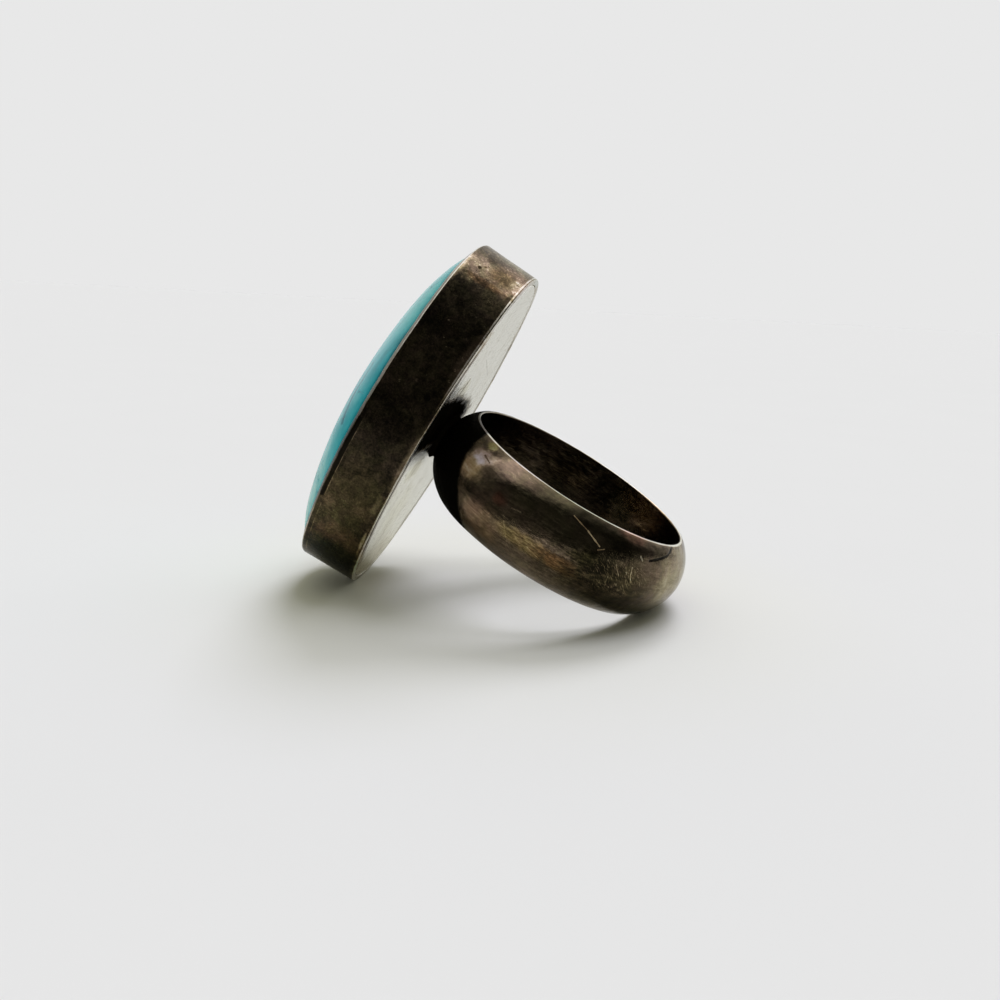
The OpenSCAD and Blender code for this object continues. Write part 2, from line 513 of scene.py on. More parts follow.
def solder_tree():
    """Hollow fillet of solder round the spot where the band's crown meets the plate."""
    sizes = {
        "Reach across": 3.0,
        "Reach along": 1.8,
        "Spread on the plate": 1.25,
        "Hollow out": 2.2,
        "Hollow up": 1.6,
        "Climb over the gap": 1.12,
        "Sunk in the plate": 0.05,
        "Crown radius": BORE_RADIUS + CROWN_THICK,
        "Unevenness": 0.05,
        "Steps round": 121,
        "Steps across": 41,
    }
    tree, given, exit_node = shape_tree("solder fillet", sizes)
    grid, round_share, across_share = grid_of(tree, given)
    band_half, rise = BAND_WIDTH / 2, CROWN_THICK - RIM_THICK
    crown_radius = (band_half ** 2 + rise ** 2) / (2 * rise)
    spread = given["Spread on the plate"]
    climb = ((across_share - HIDDEN_SHARE) / (1 - 2 * HIDDEN_SHARE)).held(0.0, 1.0)
    share = spread - (spread - 1) * (1 - (1 - climb) ** given["Hollow out"])
    for hidden_way in (across_share, 1 - across_share):
        share = share * (hidden_way / HIDDEN_SHARE).held(0.0, 1.0)
    angle = round_share * (2 * math.pi)
    y, z = angle.cosine() * given["Reach across"], angle.sine() * given["Reach along"]
    swell = 1 + waver(vector(tree, y, z, 0.0), 1.6, given["Unevenness"], 11.0)
    y, z = y * swell, z * swell
    gap = y * y / (given["Crown radius"] * 2) + z * z / (2 * crown_radius)
    x = gap * climb ** given["Hollow up"] * given["Climb over the gap"] - given["Sunk in the plate"]
    return finish_tree(tree, given, exit_node, grid, vector(tree, x, y * share, z * share))


def add_object(name, data):
    made = bpy.data.objects.new(name, data)
    bpy.context.collection.objects.link(made)
    return made


def made_by(tree, name, finish):
    """The plain mesh that a shape tree makes, as an object of its own."""
    blank = add_object(name + "_blank", bpy.data.meshes.new(name))
    modifier = blank.modifiers.new("shape", "NODES")
    modifier.node_group = tree
    for item in tree.interface.items_tree:
        if item.in_out == "INPUT" and item.socket_type == FINISH:
            modifier[item.identifier] = finish
        elif item.in_out == "INPUT" and item.socket_type in (NUMBER, WHOLE):
            modifier[item.identifier] = item.default_value
    graph = bpy.context.evaluated_depsgraph_get()
    mesh = bpy.data.meshes.new_from_object(
        blank.evaluated_get(graph), preserve_all_data_layers=True, depsgraph=graph
    )
    bpy.data.objects.remove(blank)
    face_outwards(mesh)
    return add_object(name, mesh)


def face_outwards(mesh):
    """Turns a closed piece's faces outwards, told by the sign of its volume."""
    mesh.calc_loop_triangles()
    volume = 0.0
    for triangle in mesh.loop_triangles:
        a, b, c = (mesh.vertices[i].co for i in triangle.vertices)
        volume += a.dot(b.cross(c))
    if volume < 0:
        mesh.flip_normals()


# Finishes


def ring_place(tree):
    """Where a point lies in the ring's own axes, in millimetres."""
    sockets = {
        "Vector": result(tree, "ShaderNodeTexCoord", output="Object"),
        "Location": tuple(PLATE_BACK * MM),
        "Rotation": (0.0, LEAN, 0.0),
        "Scale": (MM, MM, MM),
    }
    return result(tree, "ShaderNodeMapping", sockets, vector_type="TEXTURE")


def ramp(value, stops):
    """Colour of a value by stops, [value, red, green, blue] in linear light."""
    made = add_node(value.tree, "ShaderNodeValToRGB", {0: value})
    elements = made.color_ramp.elements
    while len(elements) < len(stops):
        elements.new(1.0)
    for element, (at, *colour) in zip(elements, stops):
        element.position = at
        element.color = (*colour, 1.0)
    return Term(value.tree, made.outputs[0])


def mixed(a, b, share):
    """Colour a where share is 0, colour b where it is 1."""
    return result(share.tree, "ShaderNodeMix", {0: share, 4: a, 5: b}, 1, data_type="VECTOR")


def tinted(colour, tint):
    return with_vectors("MULTIPLY", colour, tint)


WHITE = (1.0, 1.0, 1.0)


# Silver by the depth of its tarnish, from bright metal to black
TARNISH_COLOURS = [
    [0.00, 0.82, 0.81, 0.77],
    [0.20, 0.62, 0.585, 0.50],
    [0.38, 0.36, 0.30, 0.215],
    [0.55, 0.162, 0.130, 0.093],
    [0.72, 0.069, 0.055, 0.038],
    [0.88, 0.026, 0.0215, 0.015],
    [1.00, 0.009, 0.008, 0.006],
]
# Tones between which tarnish drifts
BROWN_TONE = (1.05, 0.96, 0.90)
OLIVE_TONE = (0.95, 1.0, 0.74)


def tarnish_group():
    """Colour and roughness of silver by how deep its tarnish is at a point."""
    inputs = {
        "Place": ARROW,
        "Depth": 0.6,
        "Bright wear": 0.0,
        "Clouds": 0.15,
        "Mottle": 0.12,
        "Olive": 0.5,
        "Stain": WHITE,
        "Sheen": 0.3,
    }
    outputs = {"Colour": COLOUR, "Roughness": NUMBER}
    tree, given, exit_node = new_tree("tarnish", "ShaderNodeTree", inputs, outputs)
    place = given["Place"]
    clouds = (cloud(place, 3.2, 4.0, 0.55, 1.0, 0.6).eased(0.30, 0.70) - 0.5) * given["Clouds"] * 2
    mottle = (cloud(place, 0.55, 5.0, 0.72, 2.0, 0.4) - 0.5) * given["Mottle"] * 3.0
    grain = (cloud(place, 0.15, 4.0, 0.75, 3.0) - 0.5) * given["Mottle"] * 3.0
    depth = given["Depth"] + clouds + mottle + grain
    rubbed = given["Bright wear"] * (cloud(place, 0.14, 3.0, 0.7, 9.0) * 0.5 + 0.75)
    depth = (depth * (1 - rubbed)).held(0.0, 1.0)
    metal = ramp(depth, TARNISH_COLOURS)
    hue = cloud(place, 1.5, 4.0, 0.6, 4.0, 0.8).eased(0.40, 0.62) * given["Olive"]
    tone = mixed(WHITE, mixed(BROWN_TONE, OLIVE_TONE, hue), depth.eased(0.2, 0.5))
    feed(tinted(tinted(metal, tone), given["Stain"]), exit_node.inputs["Colour"])
    rough = given["Sheen"] + (cloud(place, 0.9, 5.0, 0.65, 5.0) - 0.5) * given["Sheen"] * 0.9
    feed(rough.held(0.05, 0.9), exit_node.inputs["Roughness"])
    return tree


def patch_group():
    """A ragged patch about a centre: 1 inside its reach, 0 outside."""
    inputs = {"Place": ARROW, "Centre": (0.0, 0.0, 0.0), "Reach": (1.0, 1.0, 1.0), "Ragged": 0.3, "Soft": 0.3}
    tree, given, exit_node = new_tree("patch", "ShaderNodeTree", inputs, {"Mask": NUMBER})
    away = with_vectors("SUBTRACT", given["Place"], given["Centre"])
    far = with_vectors("LENGTH", with_vectors("DIVIDE", away, given["Reach"]))
    far = far + (cloud(given["Place"], 0.7, 5.0, 0.68, 6.0) - 0.5) * given["Ragged"] * 2
    mask = 1 - far.eased(1 - given["Soft"], 1 + given["Soft"])
    feed(mask, exit_node.inputs["Mask"])
    return tree


def stroke_group():
    """One scratch from a point to another: 1 on it, 0 away from it, with broken edges."""
    inputs = {"Place": ARROW, "From": (0.0, 0.0, 0.0), "To": (1.0, 0.0, 0.0), "Width": 0.06}
    tree, given, exit_node = new_tree("stroke", "ShaderNodeTree", inputs, {"Mask": NUMBER})
    way = with_vectors("SUBTRACT", given["To"], given["From"])
    away = with_vectors("SUBTRACT", given["Place"], given["From"])
    share = with_vectors("DOT_PRODUCT", away, way) / with_vectors("DOT_PRODUCT", way, way)
    nearest = with_vectors("MULTIPLY", way, share.held(0.0, 1.0))
    far = with_vectors("LENGTH", with_vectors("SUBTRACT", away, nearest))
    width = given["Width"] * (cloud(given["Place"], 0.35, 3.0, 0.6, 12.0) * 1.6 + 0.1)
    feed(1 - (far / width).eased(0.45, 1.1), exit_node.inputs["Mask"])
    return tree


def scratch_group():
    """Brushed lines, and rare longer strokes among them, both along the turned Z axis."""
    inputs = {
        "Place": ARROW,
        "Turn": (0.0, 0.0, 0.0),
        "Line width": 0.05,
        "Line length": 3.0,
        "Rarity": 0.6,
    }
    outputs = {"Lines": NUMBER, "Strokes": NUMBER}
    tree, given, exit_node = new_tree("fine scratches", "ShaderNodeTree", inputs, outputs)
    sockets = {"Vector": given["Place"], "Rotation": given["Turn"]}
    x, y, z = parts(result(tree, "ShaderNodeMapping", sockets, vector_type="TEXTURE"))
    thin = given["Line width"]
    stretched = vector(tree, x / thin, y / thin, z / given["Line length"])
    feed(cloud(stretched, 1.0, 2.0, 0.6, 7.0), exit_node.inputs["Lines"])
    rare = cloud(stretched, 1.0, 0.0, 0.5, 8.0)
    feed(rare.eased(given["Rarity"], given["Rarity"] + 0.08), exit_node.inputs["Strokes"])
    return tree


def pits_group():
    """Small round pits, as a depth from 0 to 1."""
    inputs = {"Place": ARROW, "Spacing": 0.8, "Size": 0.1}
    tree, given, exit_node = new_tree("pits", "ShaderNodeTree", inputs, {"Mask": NUMBER})
    sockets = {"Vector": given["Place"], "Scale": 1 / given["Spacing"], "Randomness": 1.0}
    cells = add_node(tree, "ShaderNodeTexVoronoi", sockets)
    far = Term(tree, cells.outputs["Distance"]) * given["Spacing"]
    chance = parts(Term(tree, cells.outputs["Color"]))[0]
    size = given["Size"] * (chance * 1.6 - 0.6).most(0.0)
    mask = 1 - (far / (size + 0.001)).eased(0.5, 1.2)
    feed(mask, exit_node.inputs["Mask"])
    return tree


TARNISH = tarnish_group()
PATCH = patch_group()
STROKE = stroke_group()
SCRATCHES = scratch_group()
PITS = pits_group()


def patch(place, centre, reach, ragged, soft):
    return use(place.tree, PATCH, "Mask", Place=place, Centre=centre, Reach=reach, Ragged=ragged, Soft=soft)


def brushed(place, width, length, turn=0.0, rarity=0.6):
    """Lines brushed in a surface and rarer strokes, turned by that many degrees."""
    return use(place.tree, SCRATCHES, ["Lines", "Strokes"], Place=place, Line_width=width, Line_length=length,
               Turn=(math.radians(turn), 0.0, 0.0), Rarity=rarity)


def tarnished(place, **values):
    return use(place.tree, TARNISH, ["Colour", "Roughness"], Place=place, **values)


def stained(place, rows, depth):
    """Depth of the tarnish and its stain colour after a table of patches on it: stains, and in some rows painted
    highlights.
    """
    stain = WHITE
    for _, *shape, deeper, colour in rows:
        mask = patch(place, *shape)
        depth = mask * deeper + depth
        stain = mixed(stain, colour, mask)
    return depth, stain


def struck(place, rows):
    """The strongest, at each point, of the strokes in a table."""
    total = None
    for _, start, end, width, strength in rows:
        mask = use(place.tree, STROKE, "Mask", Place=place, From=start, To=end, Width=width) * strength
        total = mask if total is None else total.most(mask)
    return total


def new_finish(name):
    finish = bpy.data.materials.new(name)
    finish.use_nodes = True
    return finish, finish.node_tree, finish.node_tree.nodes["Principled BSDF"]


def raised(height, distance, strength, under=None):
    """Normal of a surface with a fine relief in millimetres."""
    sockets = {"Height": height, "Distance": distance * MM, "Strength": strength}
    if under:
        sockets["Normal"] = under
    return result(height.tree, "ShaderNodeBump", sockets)


def stored(tree, name):
    """A value that the shape trees stored on a piece."""
    return result(tree, "ShaderNodeAttribute", output="Fac", attribute_name=name)


def silver(metal, colour, rough, normal, edge_tint, crust_and_painted_shade=0.0):
    """Joins the looks of a silver piece to its shader. Where it has a crust, and where shade and dark reflection
    are painted on it, it is matt and no metal.
    """
    looks = {"Base Color": colour, "Roughness": rough, "Normal": normal, "Metallic": 1 - crust_and_painted_shade}
    for name, value in looks.items():
        feed(value, metal.inputs[name])
    metal.inputs["Specular IOR Level"].default_value = 0.0
    metal.inputs["Specular Tint"].default_value = (*edge_tint, 1.0)


# How much darker a crust is than black tarnish; on the band's black corner and on the plate's black by the solder
# it darkens painted shade and painted dark reflection
BLACK_CRUST_AND_PAINTED_SHADE = (0.25, 0.25, 0.25)
# Tint of each piece's metal where it is seen at a low angle
WALL_EDGE_TINT = (0.8, 0.8, 0.78)
PLATE_EDGE_TINT = (0.84, 0.84, 0.79)
BAND_EDGE_TINT = (0.85, 0.84, 0.80)
SOLDER_EDGE_TINT = (0.6, 0.6, 0.6)

# Stains on the bezel wall, and painted highlights at its upper corner and top edge: name, centre, reach,
# raggedness, softness, depth and colour
WALL_STAINS_AND_HIGHLIGHTS = [
    # Painted highlights: the pale upper corner, lit from above, and the pale top edge
    ["pale upper corner", (-3.9, -3.8, 13.2), (1.3, 1.5, 0.8), 0.45, 0.40, -0.13, (1.03, 1.0, 1.08)],
    ["pale top edge", (-2.4, 0.9, 14.2), (3.6, 2.2, 0.7), 0.35, 0.40, -0.20, (0.96, 1.02, 1.04)],
    ["rosy upper end", (-1.2, -3.4, 13.4), (1.7, 2.0, 1.3), 0.50, 0.40, -0.08, (1.06, 0.96, 1.0)],
    ["dark dimple", (-3.55, -4.17, 13.14), (0.16, 0.16, 0.16), 0.20, 0.40, 0.40, (1.0, 0.9, 0.7)],
    ["lesser dimple", (-3.23, -3.85, 13.35), (0.10, 0.10, 0.10), 0.20, 0.40, 0.20, (1.0, 0.9, 0.7)],
    ["dark streak", (-3.2, -2.8, 13.9), (0.35, 0.9, 0.15), 0.50, 0.50, 0.14, (1.0, 0.9, 0.85)],
    ["brown right of it", (-1.8, -3.6, 13.3), (1.0, 1.0, 0.8), 0.60, 0.50, 0.09, (1.1, 0.94, 0.84)],
    ["rub above the foot", (-0.5, -3.8, 13.4), (0.5, 1.0, 0.5), 0.50, 0.50, -0.16, (1.03, 1.0, 1.06)],
    ["red speckles", (-2.4, -5.0, 12.4), (1.6, 1.0, 0.25), 0.60, 0.50, 0.02, (1.12, 0.92, 0.78)],
    ["olive lower wall", (-2.5, -8.4, -6.4), (2.6, 2.2, 4.2), 0.45, 0.45, -0.09, (0.97, 1.0, 0.80)],
    ["brown lower end", (-2.0, -6.4, -10.2), (2.4, 1.8, 2.0), 0.50, 0.40, -0.07, (1.08, 0.95, 0.80)],
    ["dark edge of the strip", (-4.62, -8.46, -6.55), (0.16, 0.4, 0.40), 0.30, 0.40, 0.30, (1.0, 1.0, 1.0)],
    ["pale spot", (-3.9, -8.3, -7.0), (0.5, 0.5, 0.5), 0.70, 0.50, -0.09, (1.0, 0.97, 0.80)],
    ["pale bloom low", (-1.4, -8.1, -5.9), (0.7, 0.6, 1.1), 0.70, 0.50, -0.10, (1.0, 0.96, 0.80)],
    ["green low end", (-2.0, -5.6, -11.6), (2.4, 2.6, 1.3), 0.50, 0.45, 0.17, (0.84, 1.06, 0.76)],
    ["small pit", (-1.18, -9.07, 3.82), (0.2, 0.3, 0.2), 0.30, 0.40, 0.30, (1.0, 1.0, 1.0)],
    ["far side bloom", (-2.2, 8.6, 4.5), (2.2, 2.0, 4.5), 0.50, 0.45, -0.14, (1.0, 0.97, 0.80)],
    ["far side brown", (-2.6, 8.2, -7.0), (2.0, 2.0, 3.2), 0.50, 0.45, -0.06, (1.1, 0.92, 0.78)],
]

# Places on the wall that are rubbed bright, and a painted highlight along the foot of the lower end: name,
# centre, reach, raggedness, softness and strength
WALL_RUBS_AND_HIGHLIGHT = [
    ["pitted strip", (-0.1, -9.3, -0.9), (0.28, 0.6, 2.6), 0.60, 0.50, 0.28],
    ["tan strip", (-0.5, -8.8, -5.4), (0.22, 0.6, 1.2), 0.60, 0.50, 0.22],
    # Painted highlight along the foot of the lower end
    ["highlight", (-0.25, -7.3, -8.7), (0.14, 0.8, 1.6), 0.90, 0.50, 0.45],
    ["upper foot", (-0.3, -8.0, 7.6), (0.40, 1.2, 3.4), 0.60, 0.50, 0.20],
    ["lip of the upper end", (-4.8, -4.6, 12.6), (0.35, 2.0, 1.4), 0.50, 0.40, 0.40],
]

# How far along the wall its tarnish changes: into its paler upper end, partly painted light from above, out of its
# brown lower end, and out of its lower half, where the lip is darker, partly less rubbed and partly painted shade
# and dark reflection
UPPER_END = (12.0, 12.7)
LOWER_END = (-12.5, -4.0)
LOWER_HALF = (-1.5, 1.0)
LOW_TIP = (-11.5, -8.0)
# Where the lip is rubbed more, towards the upper end, and where the wall's foot has a bright line, a painted
# highlight with some wear
UPPER_LIP = (0.0, 8.0)
UPPER_FOOT = (2.0, 7.0)
# The dark strip under the lip of the lower half, partly patina and partly painted shade and dark reflection:
# where it ends upwards and downwards, and how far under the wall's top its bright line and its dark face lie
STRIP_TOP = (-0.8, 1.2)
STRIP_END = (-7.2, -6.6)
STRIP_LINE_DROP = 0.42
STRIP_FACE_DROP = 0.40


def wall_finish():
    """Bezel wall: near black in the middle, olive brown and tan at the ends, worn bright at foot and lip, with
    painted highlights at the upper end and foot, and painted shade in the strip under the lip.
    """
    finish, tree, metal = new_finish("tarnished bezel wall")
    place = ring_place(tree)
    z = parts(place)[2]
    height = stored(tree, "height")
    over_wall = height - WALL_HEIGHT
    ragged = (cloud(place, 1.1, 5.0, 0.65, 20.0, 0.5) - 0.5) * 2.4
    # Paler upper end: partly lighter tarnish, partly painted light from above
    upper = (z + ragged * 1.2).eased(*UPPER_END)
    lower = 1 - (z + ragged * 1.6).eased(*LOWER_END)
    depth, stain = stained(place, WALL_STAINS_AND_HIGHLIGHTS, 0.90 - upper * 0.26 - lower * 0.07)
    # Darker lip in the lower half: less rubbed, with painted shade and dark reflection
    low_half = 1 - (z + ragged).eased(*LOWER_HALF)
    lip_face = over_wall.eased(0.02, 0.08)
    depth = depth * (1 - lip_face) + lip_face * (low_half * 0.26 + 0.68)
    strip = 1 - z.eased(*STRIP_TOP)
    # Dark face of the strip: patina with painted shade and dark reflection
    strip_patina_and_shade = over_wall.eased(-STRIP_FACE_DROP, 0.06 - STRIP_FACE_DROP) * strip * z.eased(*STRIP_END)
    speckle = cloud(place, 0.24, 4.0, 0.75, 25.0).eased(0.50, 0.66)
    depth = depth + strip_patina_and_shade * 0.22 - speckle * (lower * 0.10 + 0.03) - upper * (speckle * 0.16 - 0.04)

    rub = cloud(place, 0.9, 5.0, 0.65, 23.0).eased(0.36, 0.60)
    foot_edge = 1 - height.eased(0.02, 0.08)
    foot_band = (1 - height.eased(0.10, 0.50)) * cloud(place, 0.5, 5.0, 0.75, 21.0).eased(0.40, 0.66)
    # Bright line along the foot towards the upper end: painted highlight, with some wear
    foot_wear_and_highlight = (1 - abs(height - 0.17).eased(0.03, 0.09)) * z.eased(*UPPER_FOOT)
    lip_corner = 1 - abs(over_wall).eased(0.02, 0.07)
    lip_thin = over_wall.eased(0.27, 0.31)
    lip_top = z.eased(*UPPER_LIP) * 0.20
    strip_line = (1 - abs(over_wall + STRIP_LINE_DROP).eased(0.015, 0.05)) * strip
    # Bright wear, with the painted highlights of the foot line and of the table's highlight row among it
    wear = foot_edge * (rub * 0.35 + 0.52) + foot_band * (lower * 0.25 + 0.12)
    wear = wear + foot_wear_and_highlight * (rub * 0.45 + 0.40) + strip_line * rub * 0.35
    wear = wear + lip_corner * (rub * 0.35 + 0.52 - low_half * 0.37 + lip_top)
    wear = wear + lip_corner * (1 - z.eased(*LOW_TIP)) * 0.25 + lip_thin * (rub * 0.35 + 0.50 + lip_top)
    for _, *shape, strength in WALL_RUBS_AND_HIGHLIGHT:
        wear = wear + patch(place, *shape) * strength
    colour, rough = tarnished(place, Depth=depth, Stain=stain, Bright_wear=wear.held(0.0, 0.8), Clouds=0.07,
                              Mottle=0.17, Olive=0.7, Sheen=0.30)
    pits = use(tree, PITS, "Mask", Place=place, Spacing=0.50, Size=0.09)
    lines, _ = brushed(place, 0.06, 2.2)
    relief = cloud(place, 0.40, 5.0, 0.65, 22.0) * 0.7 + lines * 0.2 - pits * 0.8
    silver(metal, colour, rough, raised(relief, 0.035, 0.9), WALL_EDGE_TINT)
    return finish


# Stains and scuffs on the back plate: name, centre, reach, raggedness, softness, depth and colour
PLATE_STAINS = [
    ["brown lower end", (0.0, -0.5, -13.2), (1.0, 5.0, 3.0), 0.40, 0.50, 0.20, (1.0, 0.97, 0.86)],
    ["scuff above", (0.0, -3.8, 4.6), (1.0, 1.6, 0.9), 0.80, 0.50, 0.16, (1.0, 1.0, 0.90)],
    ["scuff below", (0.0, -4.8, -2.4), (1.0, 1.8, 1.0), 0.80, 0.50, 0.16, (1.0, 1.0, 0.88)],
    ["dull middle", (0.0, -2.0, -7.5), (1.0, 2.6, 3.0), 0.80, 0.60, 0.07, (1.0, 1.0, 0.95)],
]

# Scratches on the plate: name, where each starts and ends, its width and how dark it is
PLATE_STROKES = [
    ["down from the solder", (0.0, -3.9, -0.7), (0.0, -4.7, -2.9), 0.14, 0.40],
    ["beside it", (0.0, -4.9, -0.9), (0.0, -5.6, -2.6), 0.10, 0.30],
    ["short one", (0.0, -3.2, -1.6), (0.0, -3.7, -3.1), 0.09, 0.25],
    ["up from the solder", (0.0, -5.0, 3.2), (0.0, -3.6, 5.6), 0.16, 0.50],
    ["beside that", (0.0, -6.3, 3.3), (0.0, -5.2, 4.9), 0.13, 0.40],
    ["long one", (0.0, 2.4, 3.6), (0.0, 3.1, 9.6), 0.07, 0.20],
    ["low one", (0.0, -2.6, -6.2), (0.0, -1.6, -10.4), 0.07, 0.20],
    ["across", (0.0, 3.6, 5.4), (0.0, -1.4, 7.2), 0.06, 0.16],
]

# The black on the plate's near side round the solder, partly tarnish and partly painted shadow and dark reflection
# of the band: centre, reach, raggedness and softness
PLATE_BLACK_AND_SHADOW = [(0.0, -7.0, 1.85), (1.0, 10.5, 2.2), 0.26, 0.18]
# How far out over the plate, and how far along it from its middle, the dirt in the seam begins and ends
SEAM_OUT = (0.930, 0.952)
SEAM_ALONG = (8.0, 12.0)
SEAM_MIDDLE = -1.0


def plate_finish():
    """Back plate: brushed bright along the bezel's length, with darker scuffs, and black by the solder that is
    partly painted shadow and dark reflection.
    """
    finish, tree, metal = new_finish("brushed back plate")
    place = ring_place(tree)
    x, y, z = parts(place)
    seam = stored(tree, "out") + (cloud(place, 0.8, 4.0, 0.6, 26.0) - 0.5) * 0.03
    seam = seam.eased(*SEAM_OUT) * (1 - abs(z - SEAM_MIDDLE).eased(*SEAM_ALONG))
    lines, strokes = brushed(place, 0.07, 4.0, rarity=0.68)
    slant, scuffs = brushed(place, 0.06, 1.6, turn=38, rarity=0.66)
    broad = cloud(vector(tree, x, y / 0.35, z / 3.0), 1.0, 4.0, 0.6, 24.0).eased(0.40, 0.66)
    grime = cloud(vector(tree, x, y / 0.9, z / 0.30), 1.0, 5.0, 0.70, 27.0).eased(0.52, 0.72)
    depth = lines * 0.22 + broad * 0.16 - 0.20 + seam * 0.70 + strokes * 0.16 + scuffs * 0.12 + grime * 0.16
    depth, stain = stained(place, PLATE_STAINS, depth)
    marks = struck(vector(tree, 0.0, y, z), PLATE_STROKES)
    # Black by the solder: partly tarnish, partly painted shadow and dark reflection of the band
    black_and_shadow = patch(place, *PLATE_BLACK_AND_SHADOW)
    crust_and_painted_shade = (black_and_shadow + marks * 1.2 + grime * 0.15).held(0.0, 1.0)
    stain = mixed(stain, BLACK_CRUST_AND_PAINTED_SHADE, black_and_shadow)
    colour, rough = tarnished(place, Depth=depth + marks + black_and_shadow, Stain=stain, Clouds=0.04, Mottle=0.10,
                              Olive=0.5, Sheen=0.22)
    relief = lines * 0.6 + slant * 0.25 - strokes * 0.4 - grime * 0.5
    silver(metal, colour, rough, raised(relief, 0.014, 0.7), PLATE_EDGE_TINT, crust_and_painted_shade)
    return finish


# Stains on the band, and painted highlights on its shoulder: name, centre, reach, raggedness, softness, depth
# and colour
BAND_STAINS_AND_HIGHLIGHTS = [
    ["gold patch", (3.9, -8.2, 1.1), (1.3, 1.2, 0.8), 0.60, 0.50, -0.32, (1.14, 1.0, 0.84)],
    # Painted highlights: the yellow green spot and the lavender shoulder
    ["yellow green spot", (4.45, -7.2, 2.95), (0.6, 0.6, 0.30), 0.90, 0.40, -0.24, (0.98, 1.04, 0.70)],
    ["lavender shoulder", (4.4, -8.0, 2.15), (1.2, 1.2, 0.5), 0.50, 0.50, -0.32, (1.06, 0.97, 1.14)],
    ["dark under the rim", (12.6, -10.0, 2.1), (5.2, 3.0, 1.6), 0.35, 0.40, 0.12, (0.90, 1.0, 0.94)],
    ["tan brushed shoulder", (6.6, -9.2, 2.8), (2.6, 1.6, 0.8), 0.35, 0.40, -0.06, (1.02, 0.99, 1.08)],
    ["red in the lens", (7.05, -10.28, 0.75), (0.55, 0.6, 0.40), 0.60, 0.50, 0.0, (1.25, 0.85, 0.82)],
    ["gold olive belt", (10.3, -11.0, -0.8), (2.5, 1.5, 0.6), 0.70, 0.45, -0.04, (1.05, 1.0, 0.70)],
    ["gold orange mottle", (13.4, -10.8, -0.75), (2.0, 1.0, 0.6), 0.80, 0.40, 0.0, (1.22, 0.92, 0.62)],
    ["olive mottle", (15.0, -10.3, 0.45), (1.6, 1.2, 0.7), 0.80, 0.40, 0.12, (0.92, 1.06, 0.66)],
    ["rosy rim side", (16.6, -7.8, 3.1), (1.2, 1.2, 0.35), 0.50, 0.50, -0.04, (1.16, 0.90, 0.90)],
    ["dark right side", (16.8, -9.2, -0.4), (3.6, 2.6, 1.9), 0.60, 0.50, 0.19, (0.98, 1.0, 0.86)],
    ["dark bottom", (18.2, -7.9, -2.5), (4.2, 3.0, 0.9), 0.45, 0.45, 0.05, (0.96, 1.0, 0.86)],
    ["pale right side", (21.0, -3.6, 1.2), (1.8, 3.6, 2.8), 0.40, 0.50, -0.25, (0.98, 1.03, 0.99)],
    ["streaked inner side", (17.9, 6.2, 2.2), (2.8, 3.2, 1.4), 0.50, 0.50, -0.26, (1.10, 0.95, 0.80)],
    ["dark inner middle", (11.2, 8.8, 0.4), (3.4, 2.0, 2.4), 0.40, 0.40, 0.22, (1.0, 0.95, 0.9)],
    ["pale brushed lower left", (6.6, -9.6, -1.6), (1.9, 1.5, 1.5), 0.35, 0.45, -0.05, (1.08, 0.95, 0.88)],
    ["far side bloom", (9.0, 10.6, 0.8), (4.0, 1.6, 1.4), 0.55, 0.45, -0.14, (1.1, 0.98, 0.75)],
    ["underside brown", (21.5, 3.5, -0.6), (2.0, 4.0, 1.6), 0.55, 0.45, -0.10, (1.15, 0.95, 0.8)],
]

# Scratches on the band that show gold, those that show pale, and dark grooves: name, where each starts and
# ends, as degrees round and millimetres along the finger, its width and how bright or deep it is
GOLD_STROKES = [
    ["long scratch", (-84.0, 2.62), (-76.4, 2.24), 0.045, 0.45],
    ["its lower half", (-76.4, 2.24), (-69.6, 1.72), 0.070, 0.65],
    ["its hook", (-69.8, 1.46), (-67.4, 1.70), 0.055, 0.45],
]
BAND_STROKES = [
    ["twin scratch one", (-60.2, 1.10), (-57.0, 0.45), 0.050, 0.40],
    ["twin scratch two", (-52.8, 1.35), (-52.1, 0.80), 0.050, 0.50],
    ["its turn", (-52.1, 0.80), (-50.4, 0.30), 0.065, 0.45],
    ["short nick", (-50.0, 2.20), (-48.7, 2.02), 0.090, 0.50],
    ["curl", (-55.8, 1.25), (-54.0, 0.75), 0.045, 0.30],
    ["wavy line", (-105.2, -0.30), (-100.5, -1.45), 0.030, 0.20],
    ["light arc", (-105.2, 0.78), (-101.5, 0.92), 0.070, 0.24],
    ["in the belt", (-93.0, -0.90), (-86.5, -1.20), 0.030, 0.20],
]
BAND_GROOVES = [
    ["gap line", (-130.0, 2.30), (-125.2, 2.15), 0.070, 0.5],
    ["dark arc one", (-25.4, 3.24), (-31.5, 2.74), 0.115, 0.9],
    ["dark arc two", (-31.5, 2.74), (-45.0, 2.16), 0.110, 0.8],
]


# Part of the belt that is scuffed, part of the shoulder with a film of grime, and the belt itself, where the
# tarnish is flecked: centre, reach, raggedness and softness
SCUFFED = [(16.9, -9.0, 0.4), (2.4, 2.4, 1.5), 0.5, 0.6]
FILM = [(4.1, -8.1, 1.5), (2.1, 1.9, 1.3), 0.45, 0.5]
BELT = [(12.4, -10.4, -0.4), (6.0, 3.0, 1.5), 0.5, 0.6]
# The black corner by the plate, partly tarnish at the joint and partly painted dark reflection and painted
# shade: how far round from the crown opposite the plate it begins, how much further for each millimetre along
# the finger, and how softly
CORNER_START = 25.7
CORNER_SLANT = 0.62
CORNER_SOFT = 0.25
CROWN_RADIUS = BORE_RADIUS + CROWN_THICK
GOLD_TINT = (1.10, 0.86, 0.50)


def round_the_band(rows):
    """The table with its places in millimetres round the crown and along the finger."""
    degree = math.radians(1) * CROWN_RADIUS
    laid = []
    for name, start, end, *rest in rows:
        laid.append([name, (start[0] * degree, start[1], 0.0), (end[0] * degree, end[1], 0.0), *rest])
    return laid


